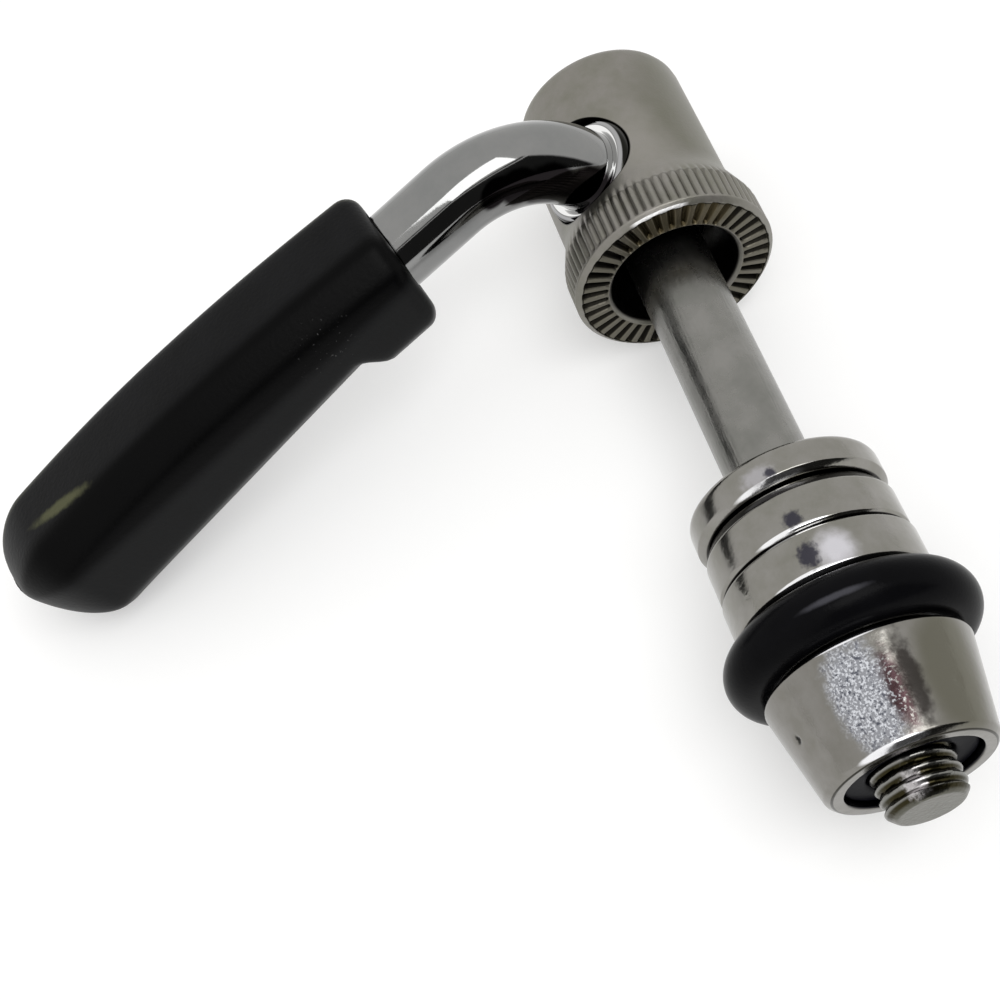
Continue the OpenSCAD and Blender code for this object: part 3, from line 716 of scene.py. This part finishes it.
# A painted highlight near the free end, and pale specks of dust near the mouth
marked(grip_plastic, (2.9, -47.8, 41.4), (0.65, 4.2, 1.3), 0.4, 0.7, 0.5, (0.085, 0.087, 0.045), 0.8)
dusty = patch(grip_plastic, (0.9, -20.9, 28.0), (3.0, 3.0, 3.0), 0.5, 1.2, 0.4)
painted(grip_plastic, specks(grip_plastic, dusty, 0.3, 0.67, 0.71), (0.05, 0.05, 0.05))
dressed(grip, grip_plastic, "lever", "grip")

# Domed washer
# A thick turned washer, bright nickel-plated. Its domed face seats in the next washer, so that the
# pair can tilt to a clamp ear that isn't square.
WASHER_BORE_R = 4.1
DOMED_X = 26.855
DOMED_RIM_X = 30.055
DOMED_R = 8.85
DOME_R = 24.0
DOME_EDGE_R = 8.35
WASHER_COLUMNS = 192


def ball(radius, centre_x, r_from, r_to, steps=14):
    """Outline of a ball's face: x is the centre plus the root of radius squared less r squared."""
    r = np.linspace(r_from, r_to, steps)
    return np.stack([centre_x + np.sqrt(radius ** 2 - r ** 2), r], -1)


dome_centre = DOMED_RIM_X - math.sqrt(DOME_R ** 2 - DOME_EDGE_R ** 2)
domed_outline = np.concatenate([
    softened([(DOMED_X + 1, WASHER_BORE_R), (DOMED_X, WASHER_BORE_R, 0.25), (DOMED_X, DOMED_R, 1.0),
              (DOMED_RIM_X - 0.5, DOMED_R, 0.1), (DOMED_RIM_X, DOME_EDGE_R)], 9),
    ball(DOME_R, dome_centre, DOME_EDGE_R, WASHER_BORE_R)[1:]])
domed_washer = made("domed_washer_ring", [shell(turned(domed_outline, WASHER_COLUMNS), True)])
bright_nickel = plated("bright_nickel", (0.215, 0.21, 0.187), (0.26, 0.252, 0.236), roughness=0.15,
                       waver=0.5, mottle_mm=2.5, grain=0.2, grain_mm=0.5, stretch=(1, 0.6, 0.6))
# Painted shade blackens the grooves between the washers. On top, each washer's edge carries a painted
# highlight, each washer a dark painted reflection, and the first and the last a bright painted
# reflection.
along = axis_of(bright_nickel, "X")
for low, high in [(30.12, 30.42), (30.72, 31.35), (35.02, 35.34)]:
    painted(bright_nickel, between(bright_nickel, along, low, high, 0.05), (0.016, 0.015, 0.014))
for x, half_x in [(29.85, 0.28), (34.85, 0.25), (39.2, 0.3)]:
    marked(bright_nickel, around(x, DOMED_R, 24), (half_x, 3.4, 3.0), 0.1, 1.0, 0.15, (0.9, 0.9, 0.92))
marked(bright_nickel, around(29.0, DOMED_R, 20), (0.8, 1.5, 1.2), 0.5, 0.5, 0.5,
       (0.42, 0.41, 0.43), 0.8)
marked(bright_nickel, around(37.9, 8.9, 41), (1.6, 1.5, 1.5), 0.3, 0.8, 0.6, (0.62, 0.61, 0.65))
for x, half_x, half_y in [(29.2, 0.5, 0.5), (34.0, 0.75, 0.8), (37.6, 1.2, 0.85)]:
    marked(bright_nickel, around(x, DOMED_R, 27), (half_x, half_y, half_y), 0.7, 0.45, 0.35,
           (0.03, 0.029, 0.045), 0.9)
dressed(domed_washer, bright_nickel, "domed_washer", "washer_domed")

# Dished washer
# The mate of the domed washer: the same plated steel, turned hollow on one face, with a bevelled rim
# that leaves a groove between the two, darkened with painted shade.
DISHED_X = 30.5
DISHED_T = 4.65
DISHED_R = 8.75
DISH_R = 24.3
DISH_EDGE_R = 8.0
BEVEL_LEN = 1.0
BEVEL_DEPTH = 0.55
BROKEN_EDGE = 0.35

dished_outline = np.concatenate([
    ball(DISH_R, dome_centre, WASHER_BORE_R, DISH_EDGE_R),
    softened([(DISHED_X, DISH_EDGE_R), (DISHED_X, DISHED_R - BEVEL_DEPTH, 0.1),
              (DISHED_X + BEVEL_LEN, DISHED_R, 0.1), (DISHED_X + DISHED_T - BROKEN_EDGE, DISHED_R, 0.1),
              (DISHED_X + DISHED_T, DISHED_R - BROKEN_EDGE, 0.1),
              (DISHED_X + DISHED_T, WASHER_BORE_R, 0.2),
              (DISHED_X + DISHED_T - 1, WASHER_BORE_R)])[1:]])
dished_washer = made("dished_washer_ring", [shell(turned(dished_outline, WASHER_COLUMNS), True)])
dressed(dished_washer, bright_nickel, "dished_washer", "washer_dished")

# Flat washer
# A plain thick washer, the same plated steel, on which the nut turns.
FLAT_X = 35.2
FLAT_T = 4.3
FLAT_R = 8.9

flat_outline = softened([
    (FLAT_X + 2, WASHER_BORE_R), (FLAT_X, WASHER_BORE_R, 0.25), (FLAT_X, FLAT_R - BROKEN_EDGE, 0.1),
    (FLAT_X + BROKEN_EDGE, FLAT_R, 0.1), (FLAT_X + FLAT_T - BROKEN_EDGE, FLAT_R, 0.1),
    (FLAT_X + FLAT_T, FLAT_R - BROKEN_EDGE, 0.1),
    (FLAT_X + FLAT_T, WASHER_BORE_R, 0.25), (FLAT_X + FLAT_T - 2, WASHER_BORE_R)])
flat_washer = made("flat_washer_ring", [shell(turned(flat_outline, WASHER_COLUMNS), True)])
dressed(flat_washer, bright_nickel, "flat_washer", "washer_flat")

# Cone nut
# Turned steel, bright nickel-plated: a cone for a spanner-free grip, a hub that carries the rubber
# ring, and a recess for the locking insert. Small dents and scratches mark the cone.
HUB_END_X = 39.55
CONE_BIG_X = 45.3
NUT_FACE_X = 54.5
CONE_BIG_R = 9.15
CONE_SMALL_R = 7.5
HUB_R = 6.3
SEAT_R = 5.9
SEAT_DEPTH = 3.6
NUT_BORE_R = 3.7
NUT_COLUMNS = 288
NUT_STEP = 0.2
# Dents in the cone: place along the bolt, angle in degrees, depth and radius
DENTS = [(49.7, 329, 0.22, 0.32), (52.4, 340, 0.05, 0.5), (47.5, 20, 0.05, 0.6),
         (50.8, 75, 0.05, 0.4)]


def dented(x, r, a):
    """Dents: each lowers the radius by its depth times a bell curve of the distance from its middle."""
    low = 0
    for at, deg, depth, size in DENTS:
        away = (a - math.radians(deg) + math.pi) % (2 * math.pi) - math.pi
        low = low + depth * np.exp(-((x - at) ** 2 + (away * r) ** 2) / size ** 2)
    return x, np.where(r > SEAT_R + 0.4, r - low, r)


nut_outline = filled(softened([
    (HUB_END_X + 2, NUT_BORE_R), (HUB_END_X, NUT_BORE_R, 0.3), (HUB_END_X, HUB_R, 0.2),
    (CONE_BIG_X, HUB_R, 0.2), (CONE_BIG_X, CONE_BIG_R - 0.3, 0.1), (CONE_BIG_X + 0.3, CONE_BIG_R, 0.2),
    (NUT_FACE_X - 0.45, CONE_SMALL_R, 0.2), (NUT_FACE_X, CONE_SMALL_R - 0.5, 0.15),
    (NUT_FACE_X, SEAT_R + 0.1, 0.1), (NUT_FACE_X - 0.15, SEAT_R, 0.1),
    (NUT_FACE_X - SEAT_DEPTH, SEAT_R, 0.1), (NUT_FACE_X - SEAT_DEPTH, NUT_BORE_R, 0.1),
    (NUT_FACE_X - SEAT_DEPTH - 2, NUT_BORE_R)]), NUT_STEP)
cone_nut = made("cone_nut_body", [shell(turned(nut_outline, NUT_COLUMNS, dented), True)])
nut_nickel = plated("nut_nickel", (0.19, 0.183, 0.165), (0.23, 0.222, 0.208), roughness=0.17, waver=0.5,
                    mottle_mm=2.2, grain=0.3, grain_mm=1.1)
# The cone's far side is painted darker as shade. Its pale patch, partly scuffs and partly painted
# reflection, has bright and dark flecks, then a reddish and a dark streak of painted reflection. Its
# two edges carry painted highlights on top, and painted shade fills the deepest dent, a ring at the end
# face and the recess.
along = axis_of(nut_nickel, "X")
from_axis = length(nut_nickel, bench_place(nut_nickel), (0, 1, 1))
marked(nut_nickel, around(50, 8.2, 76), (6.0, 3.0, 3.4), 0.15, 3.0, 0.3, (0.135, 0.13, 0.105))
scuffs_and_reflection = patch(nut_nickel, around(50.0, 8.2, 21), (5.0, 2.5, 2.3), 0.3, 0.8, 0.3)
painted(nut_nickel, scuffs_and_reflection, (0.31, 0.32, 0.355), 0.85)
painted(nut_nickel, specks(nut_nickel, scuffs_and_reflection, 0.2, 0.46, 0.62), (0.72, 0.74, 0.79), 0.9)
painted(nut_nickel, specks(nut_nickel, scuffs_and_reflection, 0.3, 0.56, 0.66), (0.06, 0.065, 0.09), 0.85)
reddish = patch(nut_nickel, around(50.2, 8.1, 39), (4.6, 1.0, 1.0), 0.5, 0.6, 0.4)
painted(nut_nickel, specks(nut_nickel, reddish, 0.3, 0.34, 0.5), (0.052, 0.03, 0.033))
streak = patch(nut_nickel, around(49.6, 8.2, 48), (5.0, 0.95, 0.95), 0.5, 0.6, 0.35)
painted(nut_nickel, streak, (0.03, 0.026, 0.024), 0.9)
for x, r in [(CONE_BIG_X + 0.2, 9.0), (NUT_FACE_X - 0.3, 7.35)]:
    marked(nut_nickel, around(x, r, 24), (0.3, 3.2, 2.6), 0.1, 1.0, 0.15, (0.9, 0.9, 0.93))
deepest_x, deepest_deg = DENTS[0][:2]
marked(nut_nickel, around(deepest_x, 8.3, deepest_deg), (0.45, 0.3, 0.3), 0.6, 0.3, 0.3,
       (0.016, 0.016, 0.014))
on_end = ramp(nut_nickel, along, NUT_FACE_X - 0.35, NUT_FACE_X - 0.2)
end_groove = both(nut_nickel, on_end, between(nut_nickel, from_axis, 6.9, 7.06, 0.05))
painted(nut_nickel, end_groove, (0.03, 0.028, 0.022))
near_face = ramp(nut_nickel, along, NUT_FACE_X - 5, NUT_FACE_X - 4)
in_recess = both(nut_nickel, near_face, ramp(nut_nickel, from_axis, SEAT_R + 0.12, SEAT_R + 0.02))
painted(nut_nickel, in_recess, (0.012, 0.012, 0.014))
dressed(cone_nut, nut_nickel, "nut", "cone_nut")

# Locking insert
# A black nylon ring held in the nut's recess. The thread bites into it, so that the nut stays put.
INSERT_T = 3.0
INSERT_R = 5.85

floor_x = NUT_FACE_X - SEAT_DEPTH
insert_outline = softened([
    (NUT_FACE_X - 2.6, NUT_BORE_R), (floor_x, NUT_BORE_R, 0.1), (floor_x, INSERT_R, 0.1),
    (floor_x + INSERT_T, INSERT_R, 0.4), (floor_x + INSERT_T, NUT_BORE_R, 0.5),
    (NUT_FACE_X - 2.4, NUT_BORE_R)])
insert = made("nylon_insert_ring", [shell(turned(insert_outline, 128), True)])
nylon = moulded("black_nylon", (0.0035, 0.0035, 0.006), gloss=0.02, roughness=0.35, grain=0.1,
                grain_mm=0.5)
dressed(insert, nylon, "nut", "nut_insert")

# Rubber ring
# A black rubber ring of round section, stretched over the nut's hub. It holds the washers together
# when the bolt is out of its clamp.
RING_X = 42.4
RING_R = 8.82
RING_TUBE_R = 2.47

tube_turn = np.linspace(0, 2 * math.pi, 65)[:-1]
ring_outline = np.stack([RING_X + RING_TUBE_R * np.cos(tube_turn),
                         RING_R + RING_TUBE_R * np.sin(tube_turn)], -1)
ring = made("rubber_ring_body", [shell(turned(ring_outline, 192), True)])
rubber = moulded("black_rubber", (0.0028, 0.0028, 0.0034), gloss=0.032, roughness=0.24, grain=0.12,
                 grain_mm=0.3)
# A painted highlight along the top of the ring
marked(rubber, around(42.8, 11.3, 30), (0.26, 3.0, 1.9), 0.3, 1.0, 0.5, (0.06, 0.06, 0.07), 0.8)
dressed(ring, rubber, "nut", "rubber_ring")

# Table top and light
# The part lies on a plain pale table under one large soft lamp. The table looks white to the eye and
# in the plating's reflections, and keeps the part's shadow.
TABLE_HALF = 2.0
TABLE_GREY = 0.62
TABLE_GLOW = 0.38

floor_mesh = bpy.data.meshes.new("table_top")
floor_corners = [(x, y, 0) for x, y in [(-TABLE_HALF, -TABLE_HALF), (TABLE_HALF, -TABLE_HALF),
                                        (TABLE_HALF, TABLE_HALF), (-TABLE_HALF, TABLE_HALF)]]
floor_mesh.from_pydata(floor_corners, [], [(0, 1, 2, 3)])
floor = bpy.data.objects.new("table_top", floor_mesh)
bpy.context.scene.collection.objects.link(floor)
pale = bpy.data.materials.new("pale_table")
pale.use_nodes = True
pale_shader = pale.node_tree.nodes["Principled BSDF"]
pale_shader.inputs["Base Color"].default_value = (TABLE_GREY, TABLE_GREY, TABLE_GREY, 1)
pale_shader.inputs["Roughness"].default_value = 0.9
pale_shader.inputs["Specular IOR Level"].default_value = 0.0
pale_shader.inputs["Emission Color"].default_value = (1, 1, 1, 1)
ray = pale.node_tree.nodes.new("ShaderNodeLightPath")
seen = sums(pale, "MAXIMUM", ray.outputs["Is Camera Ray"], ray.outputs["Is Glossy Ray"])
seen = sums(pale, "MAXIMUM", seen, ray.outputs["Is Transmission Ray"])
glow = both(pale, seen, TABLE_GLOW)
pale.node_tree.links.new(glow, pale_shader.inputs["Emission Strength"])
floor_mesh.materials.append(pale)

# The room is evenly pale all round, but for the dark side where the photographer stands. A thin strip
# of light crosses that side near its top.
ROOM = 1.0
DARK = 0.03
DARK_MIDDLE_DEG = 26.0
DARK_HALF_DEG = 36.0
DARK_TOP_DEG = 46.0
STRIP_DEG = 42.5
STRIP_HALF_DEG = 0.7
EDGE_DEG = 6.0

world = bpy.data.worlds.new("studio")
bpy.context.scene.world = world
world.use_nodes = True
sky, sky_links = world.node_tree.nodes, world.node_tree.links
way = sky.new("ShaderNodeTexCoord")
spun = sky.new("ShaderNodeVectorRotate")
spun.rotation_type = "Z_AXIS"
spun.inputs["Angle"].default_value = -math.radians(DARK_MIDDLE_DEG)
sky_links.new(way.outputs["Generated"], spun.inputs["Vector"])
part = sky.new("ShaderNodeSeparateXYZ")
sky_links.new(spun.outputs["Vector"], part.inputs["Vector"])
beside = sums(world, "DEGREES", sums(world, "ARCTAN2", part.outputs["Y"], part.outputs["X"]))
above = sums(world, "DEGREES", sums(world, "ARCSINE", part.outputs["Z"]))
dark_side = between(world, beside, -DARK_HALF_DEG, DARK_HALF_DEG, EDGE_DEG)
under_top = ramp(world, above, DARK_TOP_DEG + 1, DARK_TOP_DEG - 1)
strip = between(world, above, STRIP_DEG - STRIP_HALF_DEG, STRIP_DEG + STRIP_HALF_DEG, 0.3)
dark = both(world, both(world, dark_side, under_top), sums(world, "SUBTRACT", 1.0, strip))
wall = sky.new("ShaderNodeMapRange")
wall.inputs["To Min"].default_value = ROOM
wall.inputs["To Max"].default_value = DARK
sky_links.new(dark, wall.inputs["Value"])
sky_links.new(wall.outputs["Result"], sky["Background"].inputs["Strength"])
sky["Background"].inputs["Color"].default_value = (1, 0.995, 0.98, 1)


def soft_lamp(name, turn_deg, height_deg, far, wide, high, brightness):
    """A soft lamp that faces the part, at an angle round it, an angle above the table and a distance.
    Its power is brightness times pi times its area."""
    t, h = math.radians(turn_deg), math.radians(height_deg)
    place = Vector((math.cos(t) * math.cos(h), math.sin(t) * math.cos(h), math.sin(h))) * far
    data = bpy.data.lights.new(name, "AREA")
    data.shape = "RECTANGLE"
    data.size, data.size_y, data.energy = wide, high, brightness * math.pi * wide * high
    lamp = bpy.data.objects.new(name, data)
    lamp.location = place
    lamp.rotation_euler = (-place).to_track_quat("-Z", "Y").to_euler()
    bpy.context.scene.collection.objects.link(lamp)


soft_lamp("window", turn_deg=32, height_deg=65, far=0.6, wide=0.46, high=0.27, brightness=3.4)

# Camera
# A close camera at the photograph's place: its axes on the bench, the place of the flange face as the
# camera sees it, and its lens come from fitting the photograph's outlines.
SEEN_ALONG = np.array([0.286, 0.798, -0.530])
SEEN_ACROSS = np.array([-0.727, -0.179, -0.662])
SEEN_FACE = np.array([17.22, -21.85, 151.74])
LENS_PIXELS = 1554.0
IMAGE_PIXELS = 1000.0
SENSOR_MM = 36.0

SEEN_ALONG /= np.linalg.norm(SEEN_ALONG)
SEEN_ACROSS -= SEEN_ALONG * (SEEN_ACROSS @ SEEN_ALONG)
SEEN_ACROSS /= np.linalg.norm(SEEN_ACROSS)
seen_bench = np.array([SEEN_ALONG, np.cross(SEEN_ACROSS, SEEN_ALONG), SEEN_ACROSS])
# Columns: the camera's right, down and forward ways in the model's frame
camera_ways = BENCH.T @ seen_bench
camera_at = laid(-(seen_bench @ SEEN_FACE))
camera_data = bpy.data.cameras.new("camera")
camera_data.sensor_fit = "HORIZONTAL"
camera_data.sensor_width = SENSOR_MM
camera_data.lens = SENSOR_MM * LENS_PIXELS / IMAGE_PIXELS
camera_data.clip_start = 0.005
camera = bpy.data.objects.new("camera", camera_data)
pose = np.eye(4)
pose[:3, :3] = camera_ways * (1, -1, -1)
pose[:3, 3] = camera_at
camera.matrix_world = Matrix(pose.tolist())
bpy.context.scene.collection.objects.link(camera)
bpy.context.scene.camera = camera
bpy.context.scene.view_settings.view_transform = "Standard"
